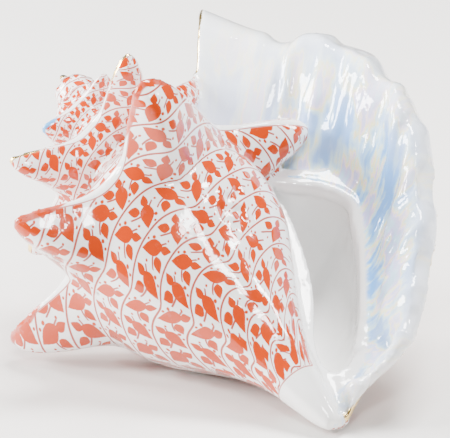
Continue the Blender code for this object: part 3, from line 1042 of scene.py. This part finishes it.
def lustre(tree, where, white):
    """Mother of pearl on the lip: streaks that run outwards and fade into the white."""
    wander = noise(tree, where, WANDER_SCALE) * WANDER
    patches = lip_noise(tree, PATCHES, wander, wander, 0.0, 3.0)
    strokes = lip_noise(tree, STROKES, wander, 0.0, 3.0, 2.0)
    ramp = tree.nodes.new("ShaderNodeValToRGB")
    tree.links.new((patches + strokes - STREAKS_FROM).between_0_and_1().socket, ramp.inputs[0])
    stops = ramp.color_ramp.elements
    for at, _ in PEARL[1:-1]:
        stops.new(at)
    for stop, (_, colour) in zip(stops, PEARL):
        stop.color = (*colour, 1.0)
    to_rim = (attribute(tree, "lip_t") - RIM_FADE_FROM) * RIM_FADE_SLOPE
    to_end = (attribute(tree, "lip_s") - END_FADE_CENTRE).math("ABSOLUTE") * END_FADE_SLOPE
    fade = (1.0 - to_rim.between_0_and_1() * RIM_FADE) * (END_FADE_START - to_end).between_0_and_1()
    return mix(tree, attribute(tree, "pearl") * fade, white, ramp.outputs["Color"])


def glaze():
    """White glaze with the coral painting, gold, mother of pearl lustre, painted shade in the vent
    hole and a painted reflection of blue sky on some spine tips.
    """
    material = bpy.data.materials.new("glaze")
    material.use_nodes = True
    tree = material.node_tree
    shader = tree.nodes["Principled BSDF"]
    where = tree.nodes.new("ShaderNodeTexCoord").outputs["Object"]

    filled, line = sprigs(tree)
    paint = attribute(tree, "paint")
    ridge = attribute(tree, "edge").math("ABSOLUTE") / attribute(tree, "size")
    hand = (noise(tree, where, HAND_SCALE) - 0.5) * HAND_SHAKE
    brushed = noise(tree, where, BRUSH_SCALE, 3.0)
    uneven = brushed * BRUSH_SHARE
    body = (filled + hand).soft(FILL_EDGE)
    lines = (line + hand * LINE_SHAKE).soft(LINE_EDGE) * LINE_LAID
    ground = (ridge - KEEL_BARE).soft(GROUND_EDGE) * (paint - SPRIGS_FROM).soft(GROUND_EDGE)
    beside = (BORDER_WIDTH - (ridge - KEEL_LINE).math("ABSOLUTE")).soft(LINE_EDGE)
    beside = beside * (paint - KEEL_LINE_FROM).soft(GROUND_EDGE) * KEEL_LINE_LAID
    border = (BORDER_WIDTH - (paint - BORDER_IN).math("ABSOLUTE")).soft(LINE_EDGE) * BORDER_LAID
    inked = (lines * ground).largest(beside).largest(border)
    filled = body * (uneven + FILL_LAID).between_0_and_1() * ground
    tips = (attribute(tree, "coral") + hand * TIP_SHAKE).soft(TIP_EDGE) * (uneven + TIP_LAID)
    drawn = filled.largest(inked).largest(tips)
    gilded = (attribute(tree, "gold") + hand).soft(GILT_EDGE)

    shaded = tuple(SHADED_WHITE * value for value in WHITE)
    white = mix(tree, noise(tree, where, WHITE_SCALE), WHITE, shaded)
    colour = lustre(tree, where, white)
    # Painted shade darkens the vent hole
    colour = mix(tree, attribute(tree, "vent_shade").soft(VENT_SHADE_EDGE), colour, SHADE)
    thin = tuple(THIN_CORAL * value for value in CORAL)
    coral = mix(tree, brushed, thin, CORAL)
    coral = mix(tree, inked * (1.0 - body), coral, INK)
    colour = mix(tree, drawn, colour, coral)
    # Painted reflection of blue sky at the edges of some spire spines
    colour = mix(tree, attribute(tree, "sky_reflection").soft(SKY_REFLECTION_EDGE), colour, SKY_REFLECTION_BLUE)
    colour = mix(tree, gilded, colour, GOLD)
    tree.links.new(colour, shader.inputs["Base Color"])
    tree.links.new(gilded.socket, shader.inputs["Metallic"])
    rough = gilded * GILT_ROUGHER + ROUGHNESS
    tree.links.new(rough.socket, shader.inputs["Roughness"])
    shader.inputs["Specular IOR Level"].default_value = UNDER_SHINE
    shader.inputs["Coat Weight"].default_value = 1.0
    shader.inputs["Coat Roughness"].default_value = COAT_ROUGHNESS

    bump = tree.nodes.new("ShaderNodeBump")
    bump.inputs["Distance"].default_value = 0.001
    bump.inputs["Strength"].default_value = 1.0
    height = drawn * PAINT_RAISED
    for scale, detail, swell in SWELLS:
        height = height + noise(tree, where, scale, detail) * swell
    tree.links.new(height.socket, bump.inputs["Height"])
    tree.links.new(bump.outputs[0], shader.inputs["Normal"])
    tree.links.new(bump.outputs[0], shader.inputs["Coat Normal"])
    return material


def paper():
    """The plain pale floor, with a faint grain."""
    material = bpy.data.materials.new("paper")
    material.use_nodes = True
    tree = material.node_tree
    shader = tree.nodes["Principled BSDF"]
    where = tree.nodes.new("ShaderNodeTexCoord").outputs["Object"]
    colour = mix(tree, noise(tree, where, FLOOR_GRAIN, 4.0), *FLOOR_COLOURS)
    tree.links.new(colour, shader.inputs["Base Color"])
    shader.inputs["Roughness"].default_value = FLOOR_ROUGHNESS
    return material


def softbox(name, place_at, width, height, power):
    """A soft rectangular light that faces the shell."""
    data = bpy.data.lights.new(name, "AREA")
    data.shape = "RECTANGLE"
    data.size = width
    data.size_y = height
    data.energy = power
    lamp = bpy.data.objects.new(name, data)
    bpy.context.scene.collection.objects.link(lamp)
    lamp.location = place_at
    aim = Vector(LIGHTS_FACE) - Vector(place_at)
    lamp.rotation_euler = aim.to_track_quat("-Z", "Y").to_euler()


def mouth_step(points):
    """Height of the step round the mouth at each point (mm)."""
    outline = smooth_curve(THROAT[:STEP_POINTS], CURVE_POINTS)
    first, last = STEP_ANGLES
    angles = LIP_THROAT_ANGLE + np.linspace(first, last, STEP_CURVES)
    curve = place(outline[:, 0], angles[:, None], outline[:, 1])
    gap = distance_to_curve(points, curve.reshape(-1, 3))
    middle = (STEP_FROM + STEP_TO) / 2.0
    half = (STEP_TO - STEP_FROM) / 2.0
    return STEP_HEIGHT * smooth_step((half - np.abs(gap - middle)) / STEP_EDGE)


def lip_ridges(face_distance, face_place):
    """Height of the lip's ridges at each point (mm)."""
    s, t = face_place[:, 0], face_place[:, 1]
    (grow_at, grow), (fade_at, fade), (begin_at, begin) = RIDGES_GROW, RIDGES_FADE, RIDGES_BEGIN
    ridged = smooth_step(RIDGES_WITHIN - face_distance)
    ridged = ridged * smooth_step((t - grow_at) * grow) * smooth_step((fade_at - t) * fade)
    ridged = ridged * smooth_step((s - begin_at) * begin)
    lift = np.zeros(len(s))
    for i in np.flatnonzero(ridged > 0.0):
        wave = sum(
            share * noise_at((s[i] * along, t[i] * across, seed))
            for along, across, seed, share in RIDGE_WAVES
        )
        lift[i] = RIDGE_HEIGHT * wave * ridged[i]
    return lift


def wrinkles(points):
    """Height of the wrinkled places at each point (mm)."""
    lift = np.zeros(len(points))
    for centre, spread, height in WRINKLES:
        centre = place(*(np.float64(value) for value in centre))
        away = np.linalg.norm(points - centre, axis=1) * 1000.0
        for i in np.flatnonzero(away < WRINKLE_REACH * spread):
            wave = noise_at(points[i] * 1000.0 / WRINKLE_SCALE)
            lift[i] += height * wave * math.exp(-((away[i] / spread) ** 2))
    return lift


def vent_pit(points):
    """Height of the vent's pit at each point (mm)."""
    away = np.linalg.norm(points * 1000.0 - vent_place(), axis=1)
    return -VENT_DEPTH * np.exp(-((away / VENT_RADIUS) ** 2))


def relief(mesh, face_distance, face_place, box):
    """Raise the small relief on the even mesh, and keep it inside the box."""
    points = numbers(mesh.vertices, "co", 3)
    normals = numbers(mesh.vertices, "normal", 3)
    lift = mouth_step(points) + lip_ridges(face_distance, face_place)
    lift += wrinkles(points) + vent_pit(points)
    low, high = (np.array(corner) for corner in box)
    points = np.clip(points + normals * lift[:, None] * 0.001, low, high)
    mesh.vertices.foreach_set("co", points.ravel())


def room():
    """The soft lights and the even light all round."""
    for softbox_values in SOFTBOXES:
        softbox(*softbox_values)
    world = bpy.data.worlds.new("room")
    world.use_nodes = True
    background = world.node_tree.nodes["Background"]
    background.inputs["Color"].default_value = ROOM_COLOUR
    background.inputs["Strength"].default_value = ROOM_LIGHT
    bpy.context.scene.world = world


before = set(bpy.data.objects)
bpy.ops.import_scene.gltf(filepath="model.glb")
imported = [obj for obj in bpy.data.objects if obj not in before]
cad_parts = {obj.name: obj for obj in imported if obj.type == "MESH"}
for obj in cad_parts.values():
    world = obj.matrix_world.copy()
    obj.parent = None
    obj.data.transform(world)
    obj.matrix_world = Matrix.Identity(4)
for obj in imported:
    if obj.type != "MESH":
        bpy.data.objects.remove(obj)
cad_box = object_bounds()

face = lip_face()
back = lip_back(face)
shell = fine_form(face, back)
face_distance, face_place = paint_coordinates(shell.data, face, back)
relief(shell.data, face_distance, face_place, cad_box)
shell.data.polygons.foreach_set("use_smooth", [True] * len(shell.data.polygons))
shell.data.materials.clear()
shell.data.materials.append(glaze())

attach(shell, "root")
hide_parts("conch_shell")

bpy.ops.mesh.primitive_plane_add(size=FLOOR_SIZE, location=FLOOR_PLACE)
floor = bpy.context.object
floor.name = "floor"
floor.data.materials.append(paper())
room()

camera = bpy.data.objects.new("camera", bpy.data.cameras.new("camera"))
camera.data.lens = LENS
camera.location = CAMERA_PLACE
camera.rotation_euler = (math.radians(CAMERA_PITCH), 0.0, 0.0)
bpy.context.scene.collection.objects.link(camera)
bpy.context.scene.camera = camera
